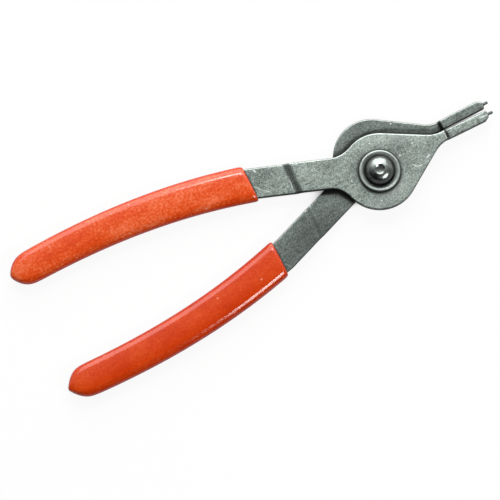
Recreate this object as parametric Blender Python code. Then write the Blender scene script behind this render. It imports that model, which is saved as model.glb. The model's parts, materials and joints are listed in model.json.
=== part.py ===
"""Convertible circlip pliers at rest, in metres, with +Z up.

Two levers come from one blank. The back one is turned over, and both cross on a push-button pivot.
The back lever has two overlapping seats: the pivot holds it in the internal position, which is
shown, or in the external one. The origin is on the pivot axis at the rear face of the plunger's
flange. +X runs to the tips, and +Y to the handle of the front lever.
"""

import math

import bmesh
import bpy
from mathutils import Matrix, Vector

# Fits
CLEARANCE = 0.0003
ARC_STEP = math.radians(7.0)

# Lever blank, with its pivot hole at (0, 0), its finger along +X and its handle on the +Y side
PLATE = 0.0032
EDGE_ROUND = 0.0005
HEAD_RADIUS = 0.0159
INNER_FLANK = math.radians(61.3)
OUTER_FLANK = math.radians(-56.5)
UPPER_NECK = math.radians(113.7)
LOWER_NECK = math.radians(202.0)
ROOT_FILLET = 0.012
UPPER_NECK_FILLET = 0.012
LOWER_NECK_FILLET = 0.010

# Arm and tang, on the centreline of the handle
ARM_WIDTH = 0.01266
ARM_SLOPE = math.radians(19.6)
KNEE = Vector((-0.0497, 0.0193))
HANDLE_SLOPE = math.radians(15.6)
HANDLE_END_HEIGHT = 0.0285
HANDLE_END_SLOPE = math.radians(-3.6)
TANG_WIDTH = 0.0109
TANG_LENGTH = 0.1022
TANG_CORNER = 0.0053

# Finger and its tip
FINGER_LENGTH = 0.0507
FINGER_ROOT_WIDTH = 0.0041
FINGER_TIP_WIDTH = 0.0041
FINGER_ROOT_GAP = 0.0005
FINGER_TIP_GAP = 0.0009
TIP_CHAMFER = Vector((0.0021, 0.0012))
TIP_CORNER = 0.0008
PIN_INSET = 0.0018
PIN_RADIUS = 0.0006
PIN_REACH = 0.0022
PIN_EDGE = 0.00025
PIN_DEPTH = 0.0050
PIN_STEPS = 20

# Joggles, which bring both arms and both fingers into the middle plane
ARM_JOGGLE = -0.0350
ARM_JOGGLE_LENGTH = 0.0036
FINGER_JOGGLE = 0.0302
FINGER_JOGGLE_LENGTH = 0.0018
FINGER_STEP = 0.0317
FINGER_STEP_LENGTH = 0.0005
JOGGLE_STEPS = 5
ROOT_GROOVE_WIDTH = 0.0006
ROOT_GROOVE_DEPTH = 0.0004

# Two-position seat of the back lever
SEAT_RADIUS = 0.0040
SEAT_SPACING = 0.0071
SEAT_BEARING = math.radians(90.0)
REST_SWING = math.radians(0.7)

# Push-button pivot
FLANGE_RADIUS = 0.0058
FLANGE_THICKNESS = 0.0014
COLLAR_DEPTH = 0.0022
NECK_RADIUS = 0.0021
TENON_RADIUS = 0.0013
TURNED_EDGE = 0.0003
BEZEL_RADIUS = 0.00865
BEZEL_HEIGHT = 0.0016
BEZEL_EDGE = 0.0006
BEZEL_CREST = 0.0078
BEZEL_DISH = 0.0007
BUSH_WALL = 0.0012
BUSH_FLOOR = 0.0010
BUTTON_RADIUS = 0.0058
BUTTON_RISE = 0.0050
BUTTON_DOME = 0.0034
DOME_CROWN = 3.2
BUTTON_WALL = 0.0011
BUTTON_ROOF = 0.0026
DIMPLE_RADIUS = 0.0021
DIMPLE_DEPTH = 0.0006
TURN_STEPS = 48
EDGE_STEPS = 4
DOME_STEPS = 9

# Return spring
WIRE_RADIUS = 0.0003
COIL_RADIUS = 0.0035
COIL_TURNS = 4.0
DEAD_TURNS = 0.75
DEAD_PITCH = 0.00064
COIL_STEPS = 16

# Dipped grips
GRIP_WALL = 0.0012
GRIP_DEPTH = 0.0064
GRIP_LIP = 0.0004
GRIP_CROWN = 2.7
CAVITY_SQUARENESS = 10.0
FRONT_DIP = 0.0497
BACK_DIP = 0.0528
TOE_LENGTH = 0.0090
TOE_CROWN = 3.5
TOE_DRIFT = 0.00045
FRONT_TOE = 0.0027
FRONT_TOE_POWER = 1.35
BACK_TOE = 0.0024
BACK_TOE_POWER = 1.1
GRIP_POINTS = 24
GRIP_STATIONS = 12
TOE_RINGS = 6

# Heights of the stack, from the rear face of the plunger's flange
BACK_PLATE_Z = FLANGE_THICKNESS + CLEARANCE + PLATE / 2
FRONT_PLATE_Z = BACK_PLATE_Z + PLATE + CLEARANCE
JOGGLE_STEP = (FRONT_PLATE_Z - BACK_PLATE_Z) / 2
FRONT_FACE_Z = FRONT_PLATE_Z + PLATE / 2
BUSH_BASE_Z = FRONT_PLATE_Z - PLATE / 2
BUSH_FLOOR_Z = BUSH_BASE_Z + BUSH_FLOOR
BEZEL_Z = FRONT_FACE_Z + CLEARANCE + BEZEL_HEIGHT
BUTTON_TRAVEL = COLLAR_DEPTH + CLEARANCE
BUTTON_SKIRT_Z = BUSH_FLOOR_Z + BUTTON_TRAVEL + CLEARANCE
BUTTON_TOP_Z = BEZEL_Z + BUTTON_RISE
BUTTON_CEILING_Z = BUTTON_TOP_Z - BUTTON_ROOF

# Sizes that follow from a mating piece
SEAT = Vector((math.cos(SEAT_BEARING), math.sin(SEAT_BEARING))) * SEAT_SPACING
COLLAR_RADIUS = SEAT_RADIUS - CLEARANCE
SLOT_WIDTH = 2 * (NECK_RADIUS + CLEARANCE)
BUTTON_BORE = BUTTON_RADIUS + CLEARANCE
BUSH_RADIUS = BUTTON_BORE + BUSH_WALL
TANG_END = KNEE.x - TANG_LENGTH
PIN_BORE = PIN_RADIUS + CLEARANCE
ALONG_X = (0, math.pi / 2, 0)


def meet(first, second):
    """The point where two lines cross, each a point and a direction in the plane."""
    (start, along), (other, across) = first, second
    return start + along * ((other - start).cross(across) / along.cross(across))


def head_tangent(angle):
    """The line that touches the round head at an angle seen from the pivot."""
    normal = Vector((math.cos(angle), math.sin(angle)))
    return normal * HEAD_RADIUS, normal.orthogonal()


def arc(centre, spoke, sweep, steps=0):
    """Points along an arc that starts at centre + spoke and turns through sweep."""
    steps = steps or max(2, math.ceil(abs(sweep) / ARC_STEP))
    return [centre + Matrix.Rotation(sweep * i / steps, 2) @ spoke for i in range(steps + 1)]


def rounded(corners):
    """A closed outline through corners, each a point and the radius that rounds it."""
    outline = []
    for i, (corner, radius) in enumerate(corners):
        back = (corners[i - 1][0] - corner).normalized()
        ahead = (corners[(i + 1) % len(corners)][0] - corner).normalized()
        if radius == 0:
            outline.append(corner)
            continue
        half = math.acos(max(-1.0, min(1.0, back.dot(ahead)))) / 2
        centre = corner + (back + ahead).normalized() * (radius / math.sin(half))
        turn = math.copysign(math.pi - 2 * half, ahead.cross(back))
        outline += arc(centre, corner + back * (radius / math.tan(half)) - centre, turn)
    return outline


def handle_at(x):
    """The height and the slope of the handle's centreline at x, in the blank."""
    if x >= KNEE.x:
        return KNEE.y - (x - KNEE.x) * math.tan(ARM_SLOPE), -ARM_SLOPE
    # A cubic curve with a set height and slope at the knee and at the end of the tang
    share = (KNEE.x - x) / TANG_LENGTH
    rise = HANDLE_END_HEIGHT - KNEE.y
    first = math.tan(HANDLE_SLOPE) * TANG_LENGTH
    last = math.tan(HANDLE_END_SLOPE) * TANG_LENGTH
    square = 3 * rise - 2 * first - last
    cube = first + last - 2 * rise
    height = KNEE.y + share * (first + share * (square + share * cube))
    climb = first + share * (2 * square + share * 3 * cube)
    return height, -math.atan(climb / TANG_LENGTH)


def tang_width(x):
    """The width of the arm and tang at x: the arm's as far as the knee, then tapering to the end."""
    share = min(1.0, max(0.0, (KNEE.x - x) / TANG_LENGTH))
    return ARM_WIDTH + (TANG_WIDTH - ARM_WIDTH) * share


def tang_end_inset(x):
    """How far the rounded end of the tang draws in from its full width at x."""
    reach = TANG_CORNER - max(0.0, x - TANG_END)
    if reach <= 0:
        return 0.0
    return TANG_CORNER - math.sqrt(TANG_CORNER * TANG_CORNER - reach * reach)


def handle_edge(x, side):
    """The point of the blank's outline at x on one side of the handle."""
    height, slope = handle_at(x)
    return Vector((x, height + side * tang_width(x) / 2 / math.cos(slope)))


def handle_stations(start, end, count):
    """Places along the handle from start to end."""
    return [start + (end - start) * i / (count - 1) for i in range(count)]


def finger_inner_edge(x, gap):
    """The finger's inner edge at x, half the gap short of the line where the two levers mirror."""
    mirror = SEAT.y + math.tan(REST_SWING) * (x - SEAT.x)
    return Vector((x, (mirror - gap) / 2))


def blank_outline():
    """The outline of the lever blank, anticlockwise from the tip of the finger."""
    inner_root = finger_inner_edge(FINGER_JOGGLE, FINGER_ROOT_GAP)
    inner_tip = finger_inner_edge(FINGER_LENGTH, FINGER_TIP_GAP)
    outer_root = inner_root - Vector((0, FINGER_ROOT_WIDTH))
    outer_tip = inner_tip - Vector((0, FINGER_TIP_WIDTH))
    inner = inner_tip, inner_tip - inner_root
    outer = outer_tip, outer_tip - outer_root
    arm = Vector((math.cos(ARM_SLOPE), -math.sin(ARM_SLOPE)))
    tang = handle_stations(KNEE.x, TANG_END, GRIP_STATIONS)
    corners = [
        (outer_tip - Vector((TIP_CHAMFER.x, 0)), 0),
        (outer_tip + Vector((0, TIP_CHAMFER.y)), TIP_CORNER),
        (inner_tip, TIP_CORNER),
        (meet(inner, head_tangent(INNER_FLANK)), ROOT_FILLET),
        (meet(head_tangent(INNER_FLANK), head_tangent(UPPER_NECK)), HEAD_RADIUS),
        (meet((handle_edge(KNEE.x, 1), arm), head_tangent(UPPER_NECK)), UPPER_NECK_FILLET),
    ]
    corners += [(handle_edge(x, 1), 0) for x in tang[:-1]]
    corners += [(handle_edge(TANG_END, side), TANG_CORNER) for side in (1, -1)]
    corners += [(handle_edge(x, -1), 0) for x in reversed(tang[:-1])]
    corners += [
        (meet((handle_edge(KNEE.x, -1), arm), head_tangent(LOWER_NECK)), LOWER_NECK_FILLET),
        (meet(head_tangent(LOWER_NECK), head_tangent(OUTER_FLANK)), HEAD_RADIUS),
        (meet(outer, head_tangent(OUTER_FLANK)), ROOT_FILLET),
    ]
    return rounded(corners)


def cut_across(bm, x):
    """Cuts the whole mesh along the plane at x, and keeps both sides."""
    geometry = bm.verts[:] + bm.edges[:] + bm.faces[:]
    bmesh.ops.bisect_plane(bm, geom=geometry, dist=1e-7, plane_co=(x, 0, 0), plane_no=(1, 0, 0))


def press(verts, start, length):
    """Presses the vertices beyond start down by the step, over an S-shaped ramp of this length."""
    shares = [0.5 - 0.5 * math.cos(math.pi * i / JOGGLE_STEPS) for i in range(JOGGLE_STEPS + 1)]
    for vert in verts:
        place = min(max((vert.co.x - start) / length, 0.0), 1.0) * JOGGLE_STEPS
        step = min(int(place), JOGGLE_STEPS - 1)
        share = shares[step] + (shares[step + 1] - shares[step]) * (place - step)
        vert.co.z -= JOGGLE_STEP * share


def joggle(bm, upper, lower):
    """Joggles the blank, with a start and a length for the ramp in its upper and lower face."""
    for start, length in sorted({upper, lower}):
        for i in range(JOGGLE_STEPS + 1):
            cut_across(bm, start + length * i / JOGGLE_STEPS)
    above = [vert for vert in bm.verts if vert.co.z > 0]
    below = [vert for vert in bm.verts if vert.co.z <= 0]
    press(above, *upper)
    press(below, *lower)


def root_groove(bm):
    """Presses the fine groove across the upper face, at the edge of the finger's step."""
    middle = FINGER_STEP - ROOT_GROOVE_WIDTH / 2
    for x in (middle - ROOT_GROOVE_WIDTH / 2, middle, middle + ROOT_GROOVE_WIDTH / 2):
        cut_across(bm, x)
    for vert in bm.verts:
        if abs(vert.co.x - middle) < 1e-6 and vert.co.z > 0:
            vert.co.z -= ROOT_GROOVE_DEPTH


def lever_blank():
    """The lever blank as a bmesh: a plate with rounded edges, joggled at the arm and the finger."""
    bm = bmesh.new()
    face = bm.faces.new([bm.verts.new((p.x, p.y, -PLATE / 2)) for p in blank_outline()])
    side = bmesh.ops.extrude_face_region(bm, geom=[face])
    raised = [item for item in side["geom"] if isinstance(item, bmesh.types.BMVert)]
    bmesh.ops.translate(bm, verts=raised, vec=(0, 0, PLATE))
    rim = [edge for edge in bm.edges if abs(edge.verts[0].co.z - edge.verts[1].co.z) < 1e-9]
    bmesh.ops.bevel(bm, geom=rim, offset=EDGE_ROUND, segments=2, profile=0.5, affect="EDGES")
    bmesh.ops.recalc_face_normals(bm, faces=bm.faces[:])
    root_groove(bm)
    arm_ramp = (ARM_JOGGLE + ARM_JOGGLE_LENGTH, -ARM_JOGGLE_LENGTH)
    joggle(bm, arm_ramp, arm_ramp)
    joggle(bm, (FINGER_STEP, FINGER_STEP_LENGTH), (FINGER_JOGGLE, FINGER_JOGGLE_LENGTH))
    return bm


def material(name, colour, roughness, metallic):
    """A Principled material of a plain colour."""
    made = bpy.data.materials.new(name)
    made.use_nodes = True
    shader = made.node_tree.nodes["Principled BSDF"]
    shader.inputs["Base Color"].default_value = (*colour, 1.0)
    shader.inputs["Roughness"].default_value = roughness
    shader.inputs["Metallic"].default_value = metallic
    return made


def add_object(name, data, finish=None, parent=None, location=(0, 0, 0), rotation=(0, 0, 0)):
    """Puts data in the scene as an object, dressed and placed under its parent."""
    obj = bpy.data.objects.new(name, data)
    bpy.context.scene.collection.objects.link(obj)
    obj.location = location
    obj.rotation_euler = rotation
    obj.parent = parent
    if finish:
        obj.data.materials.append(finish)
    return obj


def add_mesh(name, bm, finish=None, parent=None, location=(0, 0, 0), rotation=(0, 0, 0)):
    """Turns a bmesh into an object shaded smooth up to its sharp edges."""
    mesh = bpy.data.meshes.new(name)
    bm.to_mesh(mesh)
    bm.free()
    mesh.shade_smooth()
    mesh.set_sharp_from_angle(angle=math.radians(35))
    return add_object(name, mesh, finish, parent, location, rotation)


def prism(outline, depth):
    """A solid as deep as depth about z = 0 from an outline in the plane."""
    bm = bmesh.new()
    face = bm.faces.new([bm.verts.new((p.x, p.y, -depth / 2)) for p in outline])
    side = bmesh.ops.extrude_face_region(bm, geom=[face])
    raised = [item for item in side["geom"] if isinstance(item, bmesh.types.BMVert)]
    bmesh.ops.translate(bm, verts=raised, vec=(0, 0, depth))
    bmesh.ops.recalc_face_normals(bm, faces=bm.faces[:])
    return bm


def turned(profile, steps=TURN_STEPS):
    """A solid of revolution about Z from (radius, z) points, closed by the axis or as a ring."""
    bm = bmesh.new()
    verts = [bm.verts.new((radius, 0, z)) for radius, z in profile]
    edges = [bm.edges.new(pair) for pair in zip(verts, verts[1:])]
    if profile[0][0] > 0:
        edges.append(bm.edges.new((verts[-1], verts[0])))
    circle = {"cent": (0, 0, 0), "axis": (0, 0, 1), "angle": math.tau, "steps": steps}
    bmesh.ops.spin(bm, geom=verts + edges, use_merge=True, **circle)
    bmesh.ops.remove_doubles(bm, verts=bm.verts[:], dist=1e-7)
    bmesh.ops.recalc_face_normals(bm, faces=bm.faces[:])
    return bm


def lofted(rings):
    """A solid skinned over rings of as many points each, with its first and last ring capped."""
    bm = bmesh.new()
    loops = [[bm.verts.new(point) for point in ring] for ring in rings]
    for near, far in zip(loops, loops[1:]):
        for i in range(len(near)):
            bm.faces.new((near[i - 1], near[i], far[i], far[i - 1]))
    bm.faces.new(loops[0])
    bm.faces.new(reversed(loops[-1]))
    bmesh.ops.recalc_face_normals(bm, faces=bm.faces[:])
    return bm


def cut(target, name, bm, location=(0, 0, 0), rotation=(0, 0, 0)):
    """Cuts a solid out of the target with a Boolean, and keeps the cutter out of the render."""
    cutter = add_mesh(name, bm, parent=target, location=location, rotation=rotation)
    cutter.hide_render = True
    cutter.display_type = "WIRE"
    modifier = target.modifiers.new(name, "BOOLEAN")
    modifier.operation = "DIFFERENCE"
    modifier.object = cutter


def seat_outline():
    """The back lever's opening: two round seats joined by a slot that passes only the neck."""
    waist = math.asin(SLOT_WIDTH / 2 / SEAT_RADIUS)
    sweep = math.tau - 2 * waist
    spoke = Vector((SEAT_RADIUS, 0))
    first = arc(Vector((0, 0)), Matrix.Rotation(SEAT_BEARING + waist, 2) @ spoke, sweep)
    second = arc(SEAT, Matrix.Rotation(SEAT_BEARING + math.pi + waist, 2) @ spoke, sweep)
    return first + second


def tip_axis():
    """The height of the tip pin's axis above the blank's X axis."""
    return finger_inner_edge(FINGER_LENGTH, FINGER_TIP_GAP).y - PIN_INSET


def tip_pin():
    """A hardened pin along +Z with broken edges: most of it sits in the finger."""
    flat = PIN_RADIUS - PIN_EDGE
    profile = [(0, -PIN_DEPTH), (flat, -PIN_DEPTH), (PIN_RADIUS, PIN_EDGE - PIN_DEPTH)]
    profile += [(PIN_RADIUS, PIN_REACH - PIN_EDGE), (flat, PIN_REACH), (0, PIN_REACH)]
    return turned(profile, PIN_STEPS)


def bore_for_pin(lever, name, place):
    """Bores the finger's end for its tip pin."""
    bottom = -PIN_DEPTH - CLEARANCE
    profile = [(0, bottom), (PIN_BORE, bottom), (PIN_BORE, PIN_REACH), (0, PIN_REACH)]
    cut(lever, name, turned(profile, PIN_STEPS), place, ALONG_X)


def front_lever(finish):
    """The front lever: the blank as it is cut, bored for the bush."""
    lever = add_mesh("front_lever", lever_blank(), finish, location=(0, 0, FRONT_PLATE_Z))
    hole = BUSH_RADIUS + CLEARANCE
    cut(lever, "front_hole_cutter", turned([(0, -PLATE), (hole, -PLATE), (hole, PLATE), (0, PLATE)]))
    bore_for_pin(lever, "front_bore_cutter", (FINGER_LENGTH, tip_axis(), -JOGGLE_STEP))
    return lever


def back_lever(finish, pivot):
    """The back lever: the blank turned over, with the seat in use on the pivot axis."""
    bm = lever_blank()
    bmesh.ops.translate(bm, verts=bm.verts[:], vec=(-SEAT.x, -SEAT.y, 0))
    bmesh.ops.rotate(bm, verts=bm.verts[:], matrix=Matrix.Rotation(math.pi, 3, "X"))
    lever = add_mesh("back_lever", bm, finish, pivot, (0, 0, BACK_PLATE_Z))
    opening = prism([point - SEAT for point in seat_outline()], 2 * PLATE)
    cut(lever, "seat_cutter", opening, rotation=(math.pi, 0, 0))
    place = (FINGER_LENGTH - SEAT.x, SEAT.y - tip_axis(), JOGGLE_STEP)
    bore_for_pin(lever, "back_bore_cutter", place)
    return lever


def tip_pins(finish, pivot):
    """The two tip pins, pressed in the ends of the fingers."""
    middle = FRONT_PLATE_Z - JOGGLE_STEP
    place = (FINGER_LENGTH, tip_axis(), middle)
    add_mesh("front_tip_pin", tip_pin(), finish, None, place, ALONG_X)
    place = (FINGER_LENGTH - SEAT.x, SEAT.y - tip_axis(), middle)
    add_mesh("back_tip_pin", tip_pin(), finish, pivot, place, ALONG_X)


def pivot_bush(finish):
    """The flanged bush in the front lever: its flange is a dished bezel, its floor holds the spring."""
    neck_hole = NECK_RADIUS + CLEARANCE
    under_flange = FRONT_FACE_Z + CLEARANCE
    corner = Vector((BEZEL_RADIUS - BEZEL_EDGE, BEZEL_Z - BEZEL_EDGE))
    round_edge = arc(corner, Vector((BEZEL_EDGE, 0)), math.pi / 2, EDGE_STEPS)
    profile = [(neck_hole, BUSH_BASE_Z), (BUSH_RADIUS, BUSH_BASE_Z), (BUSH_RADIUS, under_flange)]
    profile += [(BEZEL_RADIUS, under_flange)]
    profile += [(point.x, point.y) for point in round_edge]
    profile += [(BEZEL_CREST, BEZEL_Z), (BUTTON_BORE, BEZEL_Z - BEZEL_DISH)]
    profile += [(BUTTON_BORE, BUSH_FLOOR_Z), (neck_hole, BUSH_FLOOR_Z)]
    add_mesh("pivot_bush", turned(profile), finish)


def push_button(finish, slide):
    """The domed button: a cap with a dimple where the plunger's end is riveted over."""
    shoulder = BUTTON_TOP_Z - BUTTON_DOME
    last = math.acos((DIMPLE_RADIUS / BUTTON_RADIUS) ** (DOME_CROWN / 2))
    dome = []
    for i in range(DOME_STEPS + 1):
        out = math.cos(last * i / DOME_STEPS) ** (2 / DOME_CROWN)
        up = math.sin(last * i / DOME_STEPS) ** (2 / DOME_CROWN)
        dome.append((BUTTON_RADIUS * out, shoulder + BUTTON_DOME * up))
    rim = dome[-1][1]
    hole = TENON_RADIUS + CLEARANCE
    inside = BUTTON_RADIUS - BUTTON_WALL
    profile = [(inside, BUTTON_SKIRT_Z), (BUTTON_RADIUS, BUTTON_SKIRT_Z)] + dome
    profile += [(DIMPLE_RADIUS - TURNED_EDGE / 2, rim - TURNED_EDGE / 2), (hole, rim - DIMPLE_DEPTH)]
    profile += [(hole, BUTTON_CEILING_Z), (inside - TURNED_EDGE, BUTTON_CEILING_Z)]
    profile += [(inside, BUTTON_CEILING_Z - TURNED_EDGE)]
    add_mesh("push_button", turned(profile), finish, slide)


def pivot_plunger(finish, slide):
    """The plunger: a flange behind the back lever, the collar in its seat, the neck and the tenon."""
    collar_z = BACK_PLATE_Z - PLATE / 2 + COLLAR_DEPTH
    shoulder = BUTTON_CEILING_Z - CLEARANCE
    end = BUTTON_TOP_Z - DIMPLE_DEPTH
    profile = [
        (0, 0),
        (FLANGE_RADIUS - TURNED_EDGE, 0),
        (FLANGE_RADIUS, TURNED_EDGE),
        (FLANGE_RADIUS, FLANGE_THICKNESS),
        (COLLAR_RADIUS, FLANGE_THICKNESS),
        (COLLAR_RADIUS, collar_z - TURNED_EDGE),
        (COLLAR_RADIUS - TURNED_EDGE, collar_z),
        (NECK_RADIUS, collar_z),
        (NECK_RADIUS, shoulder),
        (TENON_RADIUS, shoulder),
        (TENON_RADIUS, end - TURNED_EDGE),
        (TENON_RADIUS / 2, end),
        (0, end),
    ]
    add_mesh("pivot_plunger", turned(profile), finish, slide)


def return_spring(finish):
    """The coil round the neck, between the floor of the bush and the ceiling of the button."""
    low = BUSH_FLOOR_Z + CLEARANCE + WIRE_RADIUS
    high = BUTTON_CEILING_Z - CLEARANCE - WIRE_RADIUS
    live_turns = COIL_TURNS - 2 * DEAD_TURNS
    live_pitch = (high - low - 2 * DEAD_TURNS * DEAD_PITCH) / live_turns
    count = round(COIL_TURNS * COIL_STEPS)
    curve = bpy.data.curves.new("return_spring", "CURVE")
    curve.dimensions = "3D"
    curve.bevel_depth = WIRE_RADIUS
    curve.bevel_resolution = 2
    curve.use_fill_caps = True
    spline = curve.splines.new("POLY")
    spline.points.add(count)
    for i, point in enumerate(spline.points):
        turn = COIL_TURNS * i / count
        dead = min(turn, DEAD_TURNS) + max(0.0, turn - COIL_TURNS + DEAD_TURNS)
        z = low + dead * DEAD_PITCH + (turn - dead) * live_pitch
        angle = math.tau * turn
        point.co = (COIL_RADIUS * math.cos(angle), COIL_RADIUS * math.sin(angle), z, 1)
    add_object("return_spring", curve, finish)


def section(x, half_width, half_depth, power, drift=0.0):
    """A ring across the handle at x, drifted outwards: an oval that a higher power makes squarer."""
    height, slope = handle_at(x)
    ring = []
    for i in range(GRIP_POINTS):
        angle = math.tau * (i + 0.5) / GRIP_POINTS
        cosine, sine = math.cos(angle), math.sin(angle)
        across = math.copysign(abs(cosine) ** (2 / power), cosine) * half_width / math.cos(slope)
        up = math.copysign(abs(sine) ** (2 / power), sine) * half_depth
        ring.append(Vector((x, height + drift + across, up)))
    return ring


def grip_rings(mouth, toe, toe_power):
    """The rings of a dipped grip, from its toe, pointed by a low power, to its mouth and inside."""
    depth = GRIP_DEPTH / 2
    heel = TANG_END - CLEARANCE - toe + TOE_LENGTH
    rings = []
    for i in range(TOE_RINGS):
        share = math.sin(math.pi / 2 * (1 - (i + 0.6) / TOE_RINGS))
        half = (tang_width(heel) / 2 + CLEARANCE + GRIP_WALL) * (1 - share * share) ** (1 / toe_power)
        rise = depth * (1 - share**TOE_CROWN) ** (1 / TOE_CROWN)
        drift = TOE_DRIFT * share * share
        rings.append(section(heel - TOE_LENGTH * share, half, rise, GRIP_CROWN, drift))
    stations = handle_stations(heel, mouth - GRIP_LIP, GRIP_STATIONS)
    for x in stations:
        half = tang_width(x) / 2 + CLEARANCE + GRIP_WALL
        rings.append(section(x, half, depth, GRIP_CROWN))
    lip = tang_width(mouth) / 2 + CLEARANCE + GRIP_WALL - GRIP_LIP
    rings.append(section(mouth, lip, depth - GRIP_LIP, GRIP_CROWN))
    bore = PLATE / 2 + CLEARANCE
    inside = handle_stations(mouth, TANG_END + TANG_CORNER, GRIP_STATIONS)
    for i in range(1, TOE_RINGS):
        inside.append(TANG_END + TANG_CORNER * (1 - math.sin(math.pi / 2 * i / (TOE_RINGS - 1))))
    for x in inside:
        half = tang_width(x) / 2 - tang_end_inset(x) + CLEARANCE
        rings.append(section(x - CLEARANCE * (x < TANG_END + TANG_CORNER), half, bore, CAVITY_SQUARENESS))
    return rings


def grips(finish, pivot):
    """The two dipped grips over the tangs of the levers."""
    middle = FRONT_PLATE_Z - JOGGLE_STEP
    bm = lofted(grip_rings(-FRONT_DIP, FRONT_TOE, FRONT_TOE_POWER))
    add_mesh("front_grip", bm, finish, location=(0, 0, middle))
    bm = lofted(grip_rings(-BACK_DIP, BACK_TOE, BACK_TOE_POWER))
    bmesh.ops.translate(bm, verts=bm.verts[:], vec=(-SEAT.x, -SEAT.y, 0))
    bmesh.ops.rotate(bm, verts=bm.verts[:], matrix=Matrix.Rotation(math.pi, 3, "X"))
    add_mesh("back_grip", bm, finish, pivot, (0, 0, middle))


def main():
    """Clears the scene and builds the pliers."""
    for obj in list(bpy.data.objects):
        bpy.data.objects.remove(obj)
    forged = material("forged_steel", (0.27, 0.32, 0.29), 0.45, 0.9)
    turned_steel = material("blackened_turned_steel", (0.14, 0.15, 0.15), 0.3, 1.0)
    hardened = material("hardened_pin_steel", (0.2, 0.22, 0.21), 0.35, 1.0)
    spring_steel = material("spring_steel", (0.35, 0.35, 0.36), 0.3, 1.0)
    dipped_vinyl = material("dipped_vinyl", (0.78, 0.1, 0.03), 0.3, 0.0)
    pivot = add_object("lever_pivot", None, rotation=(0, 0, REST_SWING))
    slide = add_object("button_slide", None)
    front_lever(forged)
    back_lever(forged, pivot)
    tip_pins(hardened, pivot)
    pivot_bush(turned_steel)
    push_button(turned_steel, slide)
    pivot_plunger(turned_steel, slide)
    return_spring(spring_steel)
    grips(dipped_vinyl, pivot)


main()
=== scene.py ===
"""Looks of the convertible circlip pliers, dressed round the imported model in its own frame.

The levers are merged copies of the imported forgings. The dipped grips, the turned pivot and the tip
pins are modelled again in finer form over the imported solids. All sizes are in metres.
"""

import json
import logging
import math
from collections.abc import Callable, Iterator, Sequence
from contextlib import contextmanager
from dataclasses import dataclass, field
from enum import Enum
from typing import Any

import bmesh
import bpy
from mathutils import Matrix, Vector

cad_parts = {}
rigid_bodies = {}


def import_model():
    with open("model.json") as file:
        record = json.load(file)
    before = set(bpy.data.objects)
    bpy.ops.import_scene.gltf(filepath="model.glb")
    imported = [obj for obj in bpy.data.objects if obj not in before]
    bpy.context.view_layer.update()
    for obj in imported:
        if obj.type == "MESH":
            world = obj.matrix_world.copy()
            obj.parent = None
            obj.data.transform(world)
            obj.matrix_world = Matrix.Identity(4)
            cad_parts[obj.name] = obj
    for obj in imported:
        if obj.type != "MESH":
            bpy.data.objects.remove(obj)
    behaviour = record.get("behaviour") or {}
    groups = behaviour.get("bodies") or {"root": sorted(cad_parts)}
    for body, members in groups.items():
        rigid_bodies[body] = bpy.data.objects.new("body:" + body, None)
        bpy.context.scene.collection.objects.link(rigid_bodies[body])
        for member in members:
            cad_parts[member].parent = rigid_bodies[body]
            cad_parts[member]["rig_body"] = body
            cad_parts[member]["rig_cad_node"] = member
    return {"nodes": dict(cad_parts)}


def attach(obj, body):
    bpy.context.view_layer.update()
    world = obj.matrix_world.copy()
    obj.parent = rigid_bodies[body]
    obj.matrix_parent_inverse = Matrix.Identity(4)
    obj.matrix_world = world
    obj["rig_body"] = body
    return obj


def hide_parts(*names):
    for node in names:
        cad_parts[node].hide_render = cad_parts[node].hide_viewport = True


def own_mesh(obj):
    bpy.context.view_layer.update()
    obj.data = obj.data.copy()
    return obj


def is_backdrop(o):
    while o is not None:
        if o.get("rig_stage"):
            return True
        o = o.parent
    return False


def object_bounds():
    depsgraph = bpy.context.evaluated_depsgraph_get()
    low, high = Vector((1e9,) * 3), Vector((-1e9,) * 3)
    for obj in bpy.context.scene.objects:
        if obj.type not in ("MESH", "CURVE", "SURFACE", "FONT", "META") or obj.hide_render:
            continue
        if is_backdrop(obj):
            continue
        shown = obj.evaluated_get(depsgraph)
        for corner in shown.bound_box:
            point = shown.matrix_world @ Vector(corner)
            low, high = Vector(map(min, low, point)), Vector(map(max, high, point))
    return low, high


LOG = logging.getLogger("pliers")
MM = 0.001
MERGE = 0.002 * MM

Item = bpy.types.Object
Point = tuple[float, float]
Ring = tuple[float, float, float, float]
Test = Callable[[Vector, Vector], bool]


class Body(Enum):
    """The moving bodies that a piece can ride on."""

    FRONT = "front"
    BACK = "back"
    BUTTON = "button"


class Part(Enum):
    """What a test picks in edit mode."""

    VERTS = "VERT"
    EDGES = "EDGE"
    FACES = "FACE"


def linear(code: str) -> tuple[float, float, float, float]:
    """Turns an sRGB hex colour into a linear one.

    Args:
        code: The colour as six hex digits after a hash sign.

    Returns:
        The linear red, green and blue, with an alpha of one.
    """
    shares = [int(code[i : i + 2], 16) / 255 for i in (1, 3, 5)]
    red, green, blue = (s / 12.92 if s <= 0.04045 else ((s + 0.055) / 1.055) ** 2.4 for s in shares)
    return red, green, blue, 1.0


def add_node(tree: bpy.types.NodeTree, kind: str, inputs: dict | None = None, **settings: Any) -> Any:
    """Adds a node with its settings, values and links.

    Args:
        tree: The tree that gets the node.
        kind: The node's type name after "ShaderNode".
        inputs: A value or an output socket to link, by the input's name or number.
        **settings: The node's own properties.

    Returns:
        The node.
    """
    node = tree.nodes.new("ShaderNode" + kind)
    for name, value in settings.items():
        setattr(node, name, value)
    for name, value in (inputs or {}).items():
        if isinstance(value, bpy.types.NodeSocket):
            tree.links.new(value, node.inputs[name])
        else:
            node.inputs[name].default_value = value
    return node


def blank_material(name: str) -> tuple[bpy.types.Material, Any, Any, Any]:
    """Makes a new material.

    Args:
        name: The material's name.

    Returns:
        The material, its tree, its shader and the socket with the object's coordinates.
    """
    material = bpy.data.materials.new(name)
    material.use_nodes = True
    tree = material.node_tree
    return material, tree, tree.nodes["Principled BSDF"], add_node(tree, "TexCoord").outputs["Object"]


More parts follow.
